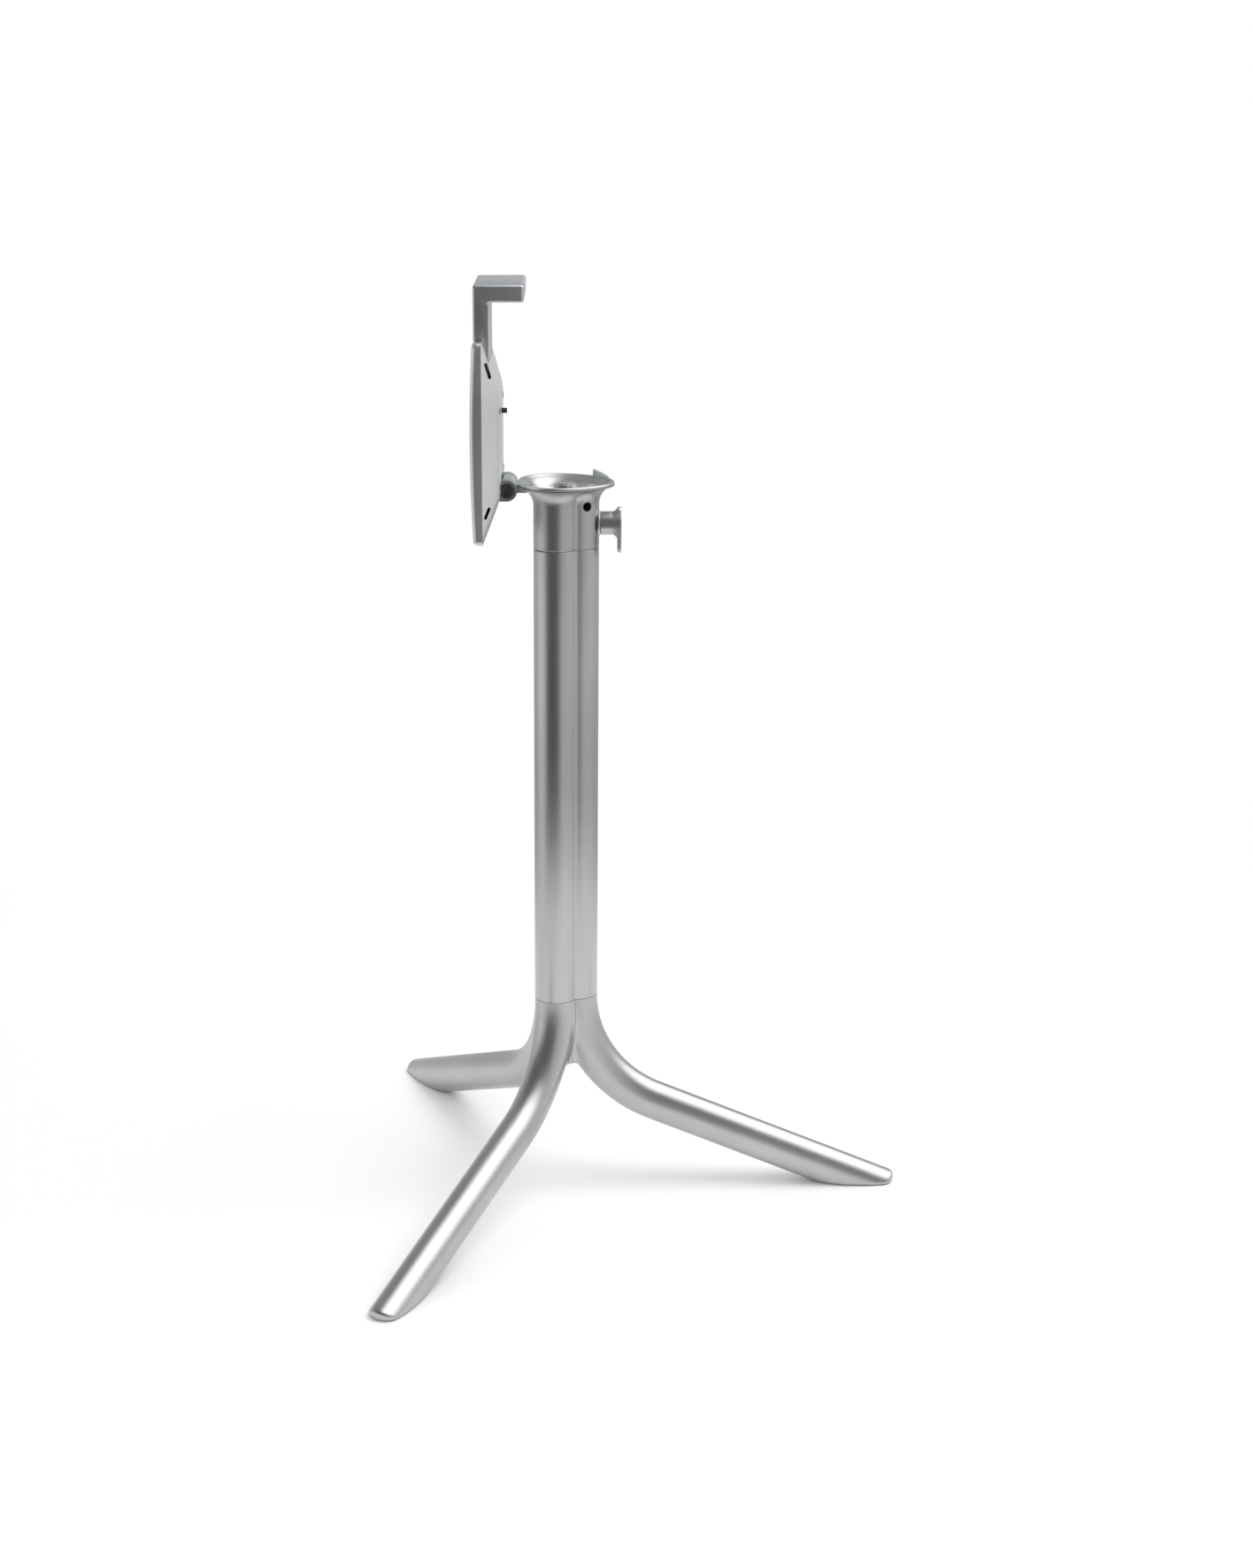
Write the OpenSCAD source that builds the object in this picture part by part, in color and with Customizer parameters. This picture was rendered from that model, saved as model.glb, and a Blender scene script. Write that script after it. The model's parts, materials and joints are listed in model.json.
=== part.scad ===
// Floor-standing tablet stand: three cast legs, a three-lobed column, a flared collar
// that swivels on the column, and a tilting head with a handle bar along its top.
// +Z is up, the origin is on the floor under the column's axis, +X points along the right leg.

/* [Column] */
// Height of the joint between the legs and the column
base_top_z = 232; // [225:1:245]
// Height of the column's top end
column_top_z = 740; // [600:5:900]
// Distance from the axis to each lobe's centre
lobe_offset = 15; // [14:0.5:16]
// Radius of each lobe
lobe_r = 23.75; // [23:0.25:25]
// Wall thickness of the hollow column
column_wall = 3; // [2.5:0.5:4]
// Radius that fills the grooves between the lobes
groove_r = 6; // [3:0.5:8]

/* [Legs] */
// Distance from the axis to the tip of a foot
leg_reach = 381; // [360:1:400]
// Slope of a leg's straight part below level, in degrees
leg_slope = 22.25; // [21.5:0.25:23]
// Bend radius of a leg's centre line
leg_bend_r = 142.5; // [138:0.5:147]
// Height of a leg's section
leg_tall = 45; // [43:0.5:47]
// Width of a leg's section
leg_wide = 38.6; // [36:0.2:40]

/* [Collar] */
// Height of the cup's rim above the column's top end
collar_h = 71; // [70:0.5:74]
// Radius of each lobe of the rim
rim_r = 39.5; // [38:0.5:41]
// Radius of the flare under the rim
flare_r = 20; // [18:0.5:22]
// Depth of the shallow cup
cup_depth = 14; // [12:0.5:15]
// Diameter of the cable hole in the collar
cable_hole_d = 10; // [8:0.5:11]

/* [Hinge] */
// Distance of the hinge's axis from the column's axis
hinge_offset = 59; // [58:0.5:60]
// Outer radius of the hinge barrel
knuckle_r = 11; // [10:0.25:11]
// Length of the hinge barrel
barrel_len = 62; // [60:1:66]
// Radius of the hinge bolt's shank
bolt_r = 4; // [3.5:0.5:4.5]

/* [Head] */
// Width of the head
head_w = 187; // [180:1:200]
// Height of the head
head_h = 207; // [205:1:215]
// Depth of the head's front plate at its edge
plate_t = 9.5; // [8.5:0.5:10]
// Depth of the rear housing behind the plate
housing_t = 18; // [17.5:0.25:18.5]
// Spacing of the inner square of tablet holes
tablet_holes_inner = 75; // [75:1:76]
// Spacing of the outer square of tablet holes
tablet_holes_outer = 100; // [99:1:100]

/* [Handle] */
// Length of the handle bar across the head
handle_w = 142; // [120:1:150]
// Reach of the handle's arm towards the back
handle_reach = 52; // [40:1:60]
// Thickness of the handle's arm
handle_arm_t = 17.5; // [14:0.5:20]
// Height of the handle above the head
handle_h = 55.5; // [45:0.5:65]

/* [Lever] */
// Radius of the lever's hub
hub_r = 12.5; // [12:0.25:13]
// Length of the lever's hub
hub_len = 18.5; // [16:0.5:22]
// Length of the lever's blade below the hub's axis
blade_len = 32; // [28:1:36]

/* [Hidden] */
$fn = 64;

// Small allowances
eps = 0.01;
fit_gap = 0.3;
run_gap = 0.05;
screw_gap = 0.1;
tangent_inset = 0.03;

// Legs and base
pad_proud = 0.8;
pad_t = 2.8;
pad_len = 64;
pad_wide = 22;
hub_core_r = 12;
core_r = 21.5;
core_bottom_z = base_top_z - 82;
hub_bottom_z = base_top_z - 36;
hub_top_z = base_top_z + 18;
rod_r = 5;
rod_hole_r = rod_r + fit_gap;
clamp_r = 16;
clamp_t = 6;
clamp_low_z = core_bottom_z + 16;
clamp_top_z = clamp_low_z + clamp_t;
leg_screw_r = 2;
leg_screw_head_r = 3.5;
leg_screw_head_h = 4;
leg_screw_pcd_r = 11;
leg_screw_len = 20;
bend_angle = 90 - leg_slope;
bend_end_x = lobe_offset + leg_bend_r * (1 - cos(bend_angle));
bend_end_z = base_top_z - leg_bend_r * sin(bend_angle);
leg_angles = [0, 120, 240];
nose_r = leg_wide / 2;
pad_x = leg_reach - nose_r / 2 - pad_len / 2 - 2;

// Column and spigot
plug_len = 30;
plug_gap = 0.2;
inner_lobe_r = lobe_r - column_wall;
spigot_plug_len = 40;
journal_r = 19;
journal_len = 35;
journal_top_z = column_top_z + journal_len;
cable_bore_r = 4.5;
cable_bore_offset = 12;

// Collar
collar_bottom_z = column_top_z + 1;
rim_z = column_top_z + collar_h;
lip_r = 2.25;
cup_floor_z = rim_z - cup_depth;
chamber_top_z = cup_floor_z - 5;
bush_t = 1.5;
bush_r = journal_r + run_gap + bush_t;
flare_rise = sqrt(pow(flare_r, 2) - pow(lobe_r + flare_r - rim_r, 2));
flare_z = rim_z - 2 * lip_r - flare_rise;
cup_arc_r = flare_r + 4;
cable_hole_z = column_top_z + 46.4;
cable_hole_angle = -62.7;
washer_t = 2;
base_washer_r = 8.5;
tie_washer_r = 9.5;
tie_nut_h = 8;
nut_flats_m10 = 17;

// Lug on the rim
lug_t = 2.4;
lug_start = 20;
lug_sweep = 42;
lug_h = 7.5;
lug_root = 3;

// Hinge
hinge_x = -hinge_offset;
hinge_z = rim_z - 6.5;
ear_gap = 1;
washer_thin = 0.6;
centre_len = barrel_len / 2 - 1;
ear_len = (barrel_len - centre_len) / 2 - ear_gap;
neck_t = 9;
arm_low_z = rim_z - 2 - neck_t;
arm_root_x = -rim_r + 2;
arm_seat_x = arm_root_x + 3.5;
arm_screw_r = 2;
arm_screw_head_r = 3.5;
arm_screw_y = 9;
arm_screw_grip = 7;
bolt_head_r = 8;
bolt_head_h = 6;
hex_flats_bolt = 8;
hinge_nut_flats = 13;
bracket_t = 6;

// Head
plate_front_x = hinge_x - 33;
plate_back_x = plate_front_x + plate_t;
plate_wall = 4;
plate_inner_x = plate_front_x + plate_wall;
housing_back_x = plate_back_x + housing_t;
housing_wall = 2.5;
head_bottom_z = hinge_z - 47.5;
head_top_z = head_bottom_z + head_h;
head_mid_z = (head_bottom_z + head_top_z) / 2;
flat_bottom_z = head_bottom_z + 46;
flat_top_z = head_top_z - 59;
corner_r = 6;
side_draft = 14;
crown = 3;
crown_steps = 24;
m4_r = 2.25;
post_r = 5;
housing_screw_y = head_w / 2 - 23.5;
housing_screw_head_r = 3.6;
housing_screw_zs = [flat_bottom_z + 12, flat_top_z - 12];
bumper_r = 2.75;
bumper_stem_r = 1.75;
small_screw_r = 2;
bracket_screw_y = 26;
bracket_screw_z = 16;
bracket_screw_head_r = 4;
slot_wide = 3.2;
bumper_z = hinge_z + 80.5;

// Handle
handle_front_x = plate_front_x + 0.7;
handle_leg_t = 15.6;
tongue_back_x = handle_front_x + handle_leg_t;
tongue_front_x = plate_back_x + fit_gap;
tongue_len = 48;
handle_round = 3;
handle_screw_y = 45;
handle_screw_head_r = 4.5;
handle_screw_z = head_top_z - 30;

// Lever
lever_z = column_top_z + 25.6;
seat_r = 14;
seat_t = 2.6;
seat_x = lobe_offset + lobe_r - 2;
hub_x = seat_x + seat_t + fit_gap;
blade_t = 4.2;
hub_end_wall = 3;
blade_tip_r = 7;
shoe_len = 8.5;
shoe_x = journal_r + fit_gap;
screw_start_x = shoe_x + shoe_len + 0.8;

silver = "#b4b6b5";
steel = "#9aa0a4";
dark = "#6b7074";
black = "#26282a";

// Runs from a to b along Z
module rod_z(r, a, b) {
    translate([0, 0, a]) cylinder(r = r, h = b - a);
}

// Runs from a to b along X
module rod_x(r, a, b) {
    translate([a, 0, 0]) rotate([0, 90, 0]) cylinder(r = r, h = b - a);
}

// Runs from a to b along Y
module rod_y(r, a, b) {
    translate([0, a, 0]) rotate([-90, 0, 0]) cylinder(r = r, h = b - a);
}

module hex_prism(flats, h) {
    cylinder(r = flats / 2 / cos(30), h = h, $fn = 6);
}

// A box given by its low and high corners
module block(low, high) {
    translate(low) cube(high - low);
}

// A rectangle with rounded corners, from low to high
module soft_rect(low, high, r) {
    translate(low + [r, 0]) square(high - low - [2 * r, 0]);
    translate(low + [0, r]) square(high - low - [0, 2 * r]);
    for (x = [low[0] + r, high[0] - r], y = [low[1] + r, high[1] - r])
        translate([x, y]) circle(r = r);
}

module on_lobes() {
    for (a = leg_angles) rotate([0, 0, a]) translate([lobe_offset, 0, 0]) children();
}

module lobe_outline(r) {
    for (a = leg_angles) rotate(a) translate([lobe_offset, 0]) circle(r = r);
}

// Fills the grooves of a lobed outline of radius r with arcs that run smoothly into the lobes
module groove_fill(r) {
    reach = (lobe_offset + sqrt(4 * pow(r + groove_r, 2) - 3 * pow(lobe_offset, 2))) / 2;
    share = (r - tangent_inset) / (r + groove_r);
    x = lobe_offset / 2 + (reach - lobe_offset / 2) * share;
    y = lobe_offset * sin(60) * (1 - share);
    for (a = leg_angles) rotate(a + 60) difference() {
        polygon([[0, 0], [x, -y], [reach, 0], [x, y]]);
        translate([reach, 0]) circle(r = groove_r + tangent_inset);
    }
}

// A three-lobed bar, as the column's outline
module lobes(r, a, b) {
    translate([0, 0, a]) linear_extrude(height = b - a) lobe_outline(r);
}

// ---- Legs and base ----

module leg_section() {
    for (s = [-1, 1]) translate([s * (leg_tall - leg_wide) / 2, 0]) circle(d = leg_wide);
    square([leg_tall - leg_wide, leg_wide], center = true);
}

module leg_bend() {
    translate([lobe_offset + leg_bend_r, 0, base_top_z])
        rotate([90, 0, 0]) rotate([0, 0, 180])
            rotate_extrude(angle = bend_angle) translate([leg_bend_r, 0]) leg_section();
}

// A ball inside the leg, across the joint of its bend and its straight part
module leg_joint() {
    translate([bend_end_x, 0, bend_end_z]) sphere(r = nose_r - 4);
}

module leg_straight() {
    intersection() {
        translate([bend_end_x, 0, bend_end_z]) rotate([0, 90 + leg_slope, 0])
            linear_extrude(height = leg_reach) leg_section();
        union() {
            block([0, -leg_wide, 0], [leg_reach - nose_r, leg_wide, base_top_z]);
            translate([leg_reach - nose_r, 0, 0]) sphere(r = nose_r);
        }
    }
}

// The lobe that meets the column, narrowing into the bend
module leg_shoulder() {
    translate([lobe_offset, 0, core_bottom_z + 8])
        cylinder(r1 = nose_r, r2 = lobe_r, h = base_top_z - core_bottom_z - 8);
}

module leg_core() {
    web_z = base_top_z - 12;
    rod_z(core_r, core_bottom_z, base_top_z);
    translate([0, 0, web_z]) linear_extrude(height = base_top_z - web_z) groove_fill(lobe_r);
}

// A third of a turn about the axis, centred on +X
module leg_sector() {
    reach = 2 * leg_reach;
    translate([0, 0, pad_proud]) linear_extrude(height = base_top_z - pad_proud)
        polygon([[0, 0], [reach, -reach * tan(60)], [reach, reach * tan(60)]]);
}

module pad_outline() {
    for (s = [-1, 1]) translate([s * (pad_len - pad_wide) / 2, 0]) circle(d = pad_wide);
    square([pad_len - pad_wide, pad_wide], center = true);
}

module leg_screw_places() {
    for (a = leg_angles) rotate([0, 0, a]) translate([leg_screw_pcd_r, 0, 0]) children();
}

module leg(angle) {
    color(silver) rotate([0, 0, angle]) difference() {
        intersection() {
            union() {
                leg_bend();
                leg_joint();
                leg_straight();
                leg_shoulder();
                leg_core();
            }
            leg_sector();
        }
        rod_z(hub_core_r + screw_gap, hub_bottom_z, base_top_z + 1);
        rod_z(rod_hole_r, core_bottom_z - 1, base_top_z);
        rod_z(clamp_r + fit_gap, core_bottom_z - leg_wide, clamp_top_z);
        leg_screw_places() rod_z(leg_screw_r + screw_gap, clamp_top_z - 1, hub_bottom_z - 2);
        translate([pad_x, 0, 0]) linear_extrude(height = pad_t) pad_outline();
    }
}

module leg_right() { leg(leg_angles[0]); }
module leg_back() { leg(leg_angles[1]); }
module leg_front() { leg(leg_angles[2]); }

module centre_hub() {
    color(steel) difference() {
        rod_z(hub_core_r, hub_bottom_z, hub_top_z);
        rod_z(rod_hole_r, hub_bottom_z - 1, hub_top_z + 1);
    }
}

module clamp_plate() {
    color(steel) difference() {
        rod_z(clamp_r, clamp_low_z, clamp_top_z);
        rod_z(rod_hole_r, clamp_low_z - 1, clamp_top_z + 1);
        leg_screw_places() {
            rod_z(leg_screw_r + screw_gap, clamp_low_z - 1, clamp_top_z + 1);
            rod_z(leg_screw_head_r + screw_gap, clamp_low_z - 1, clamp_low_z + leg_screw_head_h);
        }
    }
}

module leg_screws() {
    head_z = clamp_low_z + screw_gap;
    color(black) leg_screw_places() difference() {
        union() {
            rod_z(leg_screw_head_r, head_z, clamp_low_z + leg_screw_head_h);
            rod_z(leg_screw_r, head_z, head_z + leg_screw_len);
        }
        translate([0, 0, head_z - eps]) hex_prism(3, 2);
    }
}

module foot_pads() {
    color(black) for (a = leg_angles) rotate([0, 0, a]) translate([pad_x, 0, 0])
        linear_extrude(height = pad_t) pad_outline();
}

module base_washer() {
    low = clamp_low_z - washer_t;
    color(steel) difference() {
        rod_z(base_washer_r, low, low + washer_t);
        rod_z(rod_hole_r, low - 1, low + washer_t + 1);
    }
}

module base_nut() {
    low = clamp_low_z - washer_t - tie_nut_h;
    color(steel) difference() {
        translate([0, 0, low]) hex_prism(nut_flats_m10, tie_nut_h);
        rod_z(rod_r + screw_gap, low - 1, low + tie_nut_h + 1);
    }
}

// ---- Column ----

module column_tube() {
    color(silver) translate([0, 0, base_top_z]) linear_extrude(height = column_top_z - base_top_z)
        difference() {
            union() {
                lobe_outline(lobe_r);
                groove_fill(lobe_r);
            }
            lobe_outline(inner_lobe_r);
        }
}

module lower_plug() {
    color(dark) difference() {
        lobes(inner_lobe_r - plug_gap, base_top_z, base_top_z + plug_len);
        rod_z(hub_core_r + screw_gap, base_top_z - 1, hub_top_z);
        rod_z(rod_hole_r, base_top_z, base_top_z + plug_len + 1);
    }
}

module column_spigot() {
    plug_low = column_top_z - spigot_plug_len;
    color(steel) difference() {
        union() {
            lobes(inner_lobe_r - plug_gap, plug_low, column_top_z);
            rod_z(journal_r, plug_low, journal_top_z);
        }
        rod_z(rod_hole_r, plug_low - 1, journal_top_z + 1);
        translate([-cable_bore_offset, 0, 0]) rod_z(cable_bore_r, plug_low - 1, journal_top_z + 1);
    }
}

module thrust_ring() {
    color(black) difference() {
        rod_z(bush_r + 5, column_top_z, column_top_z + 0.7);
        rod_z(journal_r + fit_gap, column_top_z - 1, column_top_z + 2);
    }
}

module tie_rod() {
    low = clamp_low_z - washer_t - tie_nut_h - 2.5;
    color(steel) rod_z(rod_r, low, cup_floor_z + fit_gap + washer_t + tie_nut_h + 1);
}

module tie_washer() {
    low = cup_floor_z + fit_gap;
    color(steel) difference() {
        rod_z(tie_washer_r, low, low + washer_t);
        rod_z(rod_hole_r, low - 1, low + washer_t + 1);
    }
}

module tie_nut() {
    low = cup_floor_z + fit_gap + washer_t;
    color(steel) difference() {
        translate([0, 0, low]) hex_prism(nut_flats_m10, tie_nut_h);
        rod_z(rod_r + screw_gap, low - 1, low + tie_nut_h + 1);
    }
}

// ---- Collar ----

// Half section of one lobe of the outside of the collar and its rim, from low to high
module collar_profile(low, high) {
    intersection() {
        union() {
            difference() {
                translate([0, collar_bottom_z]) square([rim_r - lip_r, rim_z - collar_bottom_z]);
                translate([lobe_r + flare_r, flare_z]) circle(r = flare_r);
                translate([lobe_r, collar_bottom_z - 1]) square([rim_r, flare_z - collar_bottom_z + 1]);
            }
            translate([rim_r - lip_r, rim_z - lip_r]) circle(r = lip_r);
        }
        translate([0, low]) square([rim_r + 1, high - low]);
    }
}

// Half section of one lobe of the cup's inside
module cup_profile() {
    difference() {
        translate([0, cup_floor_z - 1]) square([rim_r - 1.5, cup_depth + 6]);
        translate([lobe_r + flare_r, flare_z]) circle(r = cup_arc_r);
    }
}

module lug_shape(top) {
    mid_r = rim_r - lip_r;
    translate([lobe_offset, 0, 0]) rotate([0, 0, lug_start])
        translate([0, 0, rim_z - lug_root]) rotate_extrude(angle = lug_sweep)
            translate([mid_r - lug_t / 2, 0]) square([lug_t, lug_root + top]);
}

module at_lever() {
    translate([0, 0, lever_z]) children();
}

module at_hinge() {
    translate([hinge_x, 0, hinge_z]) children();
}

// The pocket in the rim for the arm's flat root
module arm_root() {
    half = centre_len / 2;
    block([hinge_x + knuckle_r, -half, arm_low_z], [arm_root_x, half, arm_low_z + neck_t]);
}

module arm_screw_places() {
    for (y = [-arm_screw_y, arm_screw_y])
        translate([0, y, arm_low_z + neck_t / 2]) children();
}

module collar() {
    color(silver) difference() {
        union() {
            on_lobes() rotate_extrude() collar_profile(collar_bottom_z, cup_floor_z);
            translate([0, 0, collar_bottom_z]) linear_extrude(height = cup_floor_z - collar_bottom_z)
                groove_fill(lobe_r);
        }
        rod_z(bush_r + run_gap, collar_bottom_z - 1, chamber_top_z);
        rod_z(rod_hole_r, chamber_top_z - 1, cup_floor_z + 1);
        at_lever() rod_x(rod_r + run_gap, journal_r, seat_x + seat_t);
        at_lever() rod_x(seat_r + screw_gap, seat_x, seat_x + seat_t + 2);
        translate([lobe_offset, 0, cable_hole_z]) rotate([0, 0, cable_hole_angle])
            rod_x(cable_hole_d / 2, 0, lobe_r + 2);
    }
}

// The flared ring that stands on the collar and makes the cup's wall
module cup_rim() {
    color(silver) difference() {
        on_lobes() rotate_extrude() collar_profile(cup_floor_z, rim_z + 1);
        on_lobes() rotate_extrude() cup_profile();
        arm_root();
        arm_screw_places() {
            rod_x(arm_screw_r + screw_gap, arm_root_x - 1, arm_seat_x + 1);
            rod_x(arm_screw_head_r + fit_gap, arm_seat_x, arm_seat_x + 12);
        }
        lug_shape(0);
    }
}

module hinge_arm() {
    color(dark) difference() {
        union() {
            at_hinge() rod_y(knuckle_r, -centre_len / 2, centre_len / 2);
            block([hinge_x, -centre_len / 2, arm_low_z],
                [arm_root_x, centre_len / 2, arm_low_z + neck_t]);
        }
        at_hinge() rod_y(bolt_r + run_gap, -barrel_len / 2, barrel_len / 2);
        arm_screw_places() rod_x(arm_screw_r + screw_gap, arm_root_x - arm_screw_grip - 1, arm_root_x + 1);
    }
}

module arm_screws() {
    color(steel) arm_screw_places() difference() {
        union() {
            rod_x(arm_screw_r, arm_root_x - arm_screw_grip, arm_seat_x);
            rod_x(arm_screw_head_r, arm_seat_x, arm_seat_x + arm_screw_head_r);
        }
        translate([arm_seat_x + 1.5, 0, 0]) rotate([0, 90, 0]) hex_prism(2.5, arm_screw_head_r);
    }
}

module stop_lug() {
    color(dark) difference() {
        lug_shape(lug_h);
        // Sloped top: level with the rim at the lug's low end, full height at its high end
        translate([lobe_offset, 0, rim_z]) rotate([0, 0, lug_start + lug_sweep / 2])
            translate([rim_r, 0, lug_h / 2]) rotate([atan(lug_h / (2 * rim_r * sin(lug_sweep / 2))), 0, 0])
                translate([-rim_r, -2 * rim_r, 0]) cube([2 * rim_r, 4 * rim_r, 3 * lug_h]);
    }
}

module collar_bush() {
    color(black) difference() {
        rod_z(bush_r, collar_bottom_z, journal_top_z);
        rod_z(journal_r + run_gap, collar_bottom_z - 1, journal_top_z + 1);
        at_lever() rod_x(rod_r + 1, 0, lobe_offset + lobe_r);
    }
}

module lever_seat() {
    color(dark) at_lever() difference() {
        rod_x(seat_r, seat_x, seat_x + seat_t);
        rod_x(rod_r + fit_gap, seat_x - 1, seat_x + seat_t + 1);
    }
}

// ---- Clamp lever ----

module lever_hub() {
    color(silver) at_lever() difference() {
        rod_x(hub_r, hub_x, hub_x + hub_len);
        rod_x(rod_r, hub_x - 1, hub_x + hub_len - hub_end_wall);
    }
}

// Two circles and their common tangents, the small one at distance len below the large one
module drop_outline(r1, r2, len) {
    lean = asin((r1 - r2) / len);
    a = r1 - tangent_inset;
    b = r2 - tangent_inset;
    circle(r = r1);
    translate([0, -len]) circle(r = r2);
    polygon([
        [-a * cos(lean), -a * sin(lean)],
        [-b * cos(lean), -len - b * sin(lean)],
        [b * cos(lean), -len - b * sin(lean)],
        [a * cos(lean), -a * sin(lean)]
    ]);
}

module lever_blade() {
    x = hub_x + hub_len;
    color(silver) at_lever() translate([x, 0, 0]) rotate([90, 0, 90]) linear_extrude(height = blade_t) {
        drop_outline(hub_r, blade_tip_r, blade_len - blade_tip_r);
        mirror([0, 1]) drop_outline(hub_r, blade_tip_r, hub_r - 2);
    }
}

module lever_screw() {
    color(steel) at_lever() rod_x(rod_r, screw_start_x, hub_x + hub_len - hub_end_wall);
}

module clamp_shoe() {
    color(black) at_lever() rod_x(rod_r, shoe_x, shoe_x + shoe_len);
}

// ---- Head ----

// The head's outline seen from behind, grown by grow on all sides, from x to x + t
module head_outline(x, t, grow) {
    translate([x, 0, head_mid_z]) rotate([90, 0, 90]) linear_extrude(height = t)
        soft_rect([-head_w / 2 - grow, -head_h / 2 - grow], [head_w / 2 + grow, head_h / 2 + grow],
            corner_r + grow);
}

module plate_post(y, z, x_end) {
    translate([0, y, z]) rod_x(post_r, plate_inner_x - eps, x_end);
}

module square_holes(spacing, r) {
    for (y = [-1, 1], z = [-1, 1])
        translate([0, y * spacing / 2, head_mid_z + z * spacing / 2])
            rod_x(r, plate_front_x - crown - 1, plate_inner_x + 1);
}

module housing_screw_places() {
    for (y = [-housing_screw_y, housing_screw_y], z = housing_screw_zs)
        translate([0, y, z]) children();
}

module handle_screw_places() {
    for (y = [-handle_screw_y, handle_screw_y]) translate([0, y, handle_screw_z]) children();
}

module bracket_screw_places() {
    for (y = [-bracket_screw_y, bracket_screw_y], z = [-bracket_screw_z, bracket_screw_z])
        translate([0, y, hinge_z + z]) children();
}

// The front's slight crown, as a curve from the head's bottom edge to its top edge
module crowned_block() {
    curve = [for (i = [0 : crown_steps]) let (t = 2 * i / crown_steps - 1)
        [plate_front_x - crown * (1 - t * t), head_mid_z + t * head_h / 2]];
    rotate([90, 0, 0]) translate([0, 0, -head_w / 2]) linear_extrude(height = head_w)
        polygon(concat(curve, [[plate_inner_x, head_top_z], [plate_inner_x, head_bottom_z]]));
}

module tablet_plate() {
    rim_w = 4;
    color(silver) difference() {
        union() {
            intersection() {
                head_outline(plate_front_x - crown, crown + plate_wall, 0);
                crowned_block();
            }
            difference() {
                head_outline(plate_inner_x - eps, plate_t - plate_wall + eps, 0);
                head_outline(plate_inner_x - 1, plate_t, -rim_w);
            }
            for (y = [-housing_screw_y, housing_screw_y], z = housing_screw_zs)
                plate_post(y, z, housing_back_x - housing_wall - screw_gap);
            for (y = [-handle_screw_y, handle_screw_y])
                plate_post(y, handle_screw_z, plate_back_x);
        }
        square_holes(tablet_holes_inner, m4_r);
        square_holes(tablet_holes_outer, m4_r);
        housing_screw_places() rod_x(small_screw_r + screw_gap, plate_back_x - 2, housing_back_x);
        handle_screw_places() {
            rod_x(m4_r + screw_gap, plate_front_x - crown - 1, plate_back_x + 1);
            rod_x(handle_screw_head_r + screw_gap, plate_front_x - crown - 1, plate_front_x + 1.5);
        }
        bracket_screw_places() rod_x(small_screw_r + screw_gap, plate_front_x + 1, plate_inner_x + 1);
    }
}

// The housing's shape, shrunk by inset on every side but the open front
module housing_shape(inset) {
    low_x = plate_back_x;
    high_x = housing_back_x - inset;
    half = head_w / 2 - inset;
    top_slope = (head_top_z - flat_top_z) / housing_t;
    bottom_slope = (flat_bottom_z - head_bottom_z) / housing_t;
    depth = high_x - low_x;
    intersection() {
        head_outline(low_x - (inset > 0 ? 1 : 0), housing_t + 2, -inset);
        rotate([90, 0, 0]) translate([0, 0, -head_w]) linear_extrude(height = 2 * head_w)
            polygon([
                [low_x - 1, head_bottom_z + inset - bottom_slope],
                [high_x, head_bottom_z + inset * 2.5 + bottom_slope * depth],
                [high_x, head_top_z - inset * 3 - top_slope * depth],
                [low_x - 1, head_top_z - inset + top_slope]
            ]);
        translate([0, 0, head_bottom_z - 1]) linear_extrude(height = head_h + 2)
            polygon([
                [low_x - 1, -half],
                [low_x, -half],
                [high_x, -half + side_draft],
                [high_x, half - side_draft],
                [low_x, half],
                [low_x - 1, half]
            ]);
    }
}

// A slot through a side wall, along a sloped end
module side_slot(x, z, len, lean) {
    translate([x, 0, z]) rotate([90, 0, 0]) rotate([0, 0, lean])
        translate([0, 0, -head_w]) linear_extrude(height = 2 * head_w)
            soft_rect([-slot_wide / 2, -len / 2], [slot_wide / 2, len / 2], slot_wide / 2 - eps);
}

module rear_housing() {
    color(silver) difference() {
        intersection() {
            housing_shape(0);
            block([plate_back_x, -head_w, head_bottom_z - 1],
                [housing_back_x, head_w, head_top_z + 1]);
        }
        housing_shape(housing_wall);
        // Window for the hinge's ears and knuckle
        block([plate_back_x, -barrel_len / 2 - 1.5, hinge_z - knuckle_r - 2],
            [housing_back_x + 1, barrel_len / 2 + 1.5, hinge_z + knuckle_r + 2]);
        // Slot for the handle's tongue
        block([plate_back_x - 1, -handle_w / 2 - fit_gap, head_top_z - 40],
            [tongue_back_x + fit_gap, handle_w / 2 + fit_gap, head_top_z + 1]);
        side_slot(plate_back_x + 6.5, head_top_z - 28.5, 17, 16);
        side_slot(plate_back_x + 5, head_bottom_z + 34, 13, -22);
        housing_screw_places() rod_x(small_screw_r + screw_gap, plate_back_x, housing_back_x + 1);
        translate([0, 0, bumper_z]) rod_x(bumper_stem_r + screw_gap, plate_back_x, housing_back_x + 1);
    }
}

module housing_screws() {
    color(black) housing_screw_places() difference() {
        union() {
            rod_x(small_screw_r, plate_back_x, housing_back_x);
            rod_x(housing_screw_head_r, housing_back_x, housing_back_x + 1.6);
        }
        translate([housing_back_x + 0.6, 0, 0]) rotate([0, 90, 0]) hex_prism(2.5, 2);
    }
}

module hinge_ear(a, b) {
    at_hinge() {
        rod_y(knuckle_r, a, b);
        block([plate_inner_x - hinge_x + bracket_t - eps, a, -knuckle_r], [0, b, knuckle_r]);
    }
}

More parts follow.
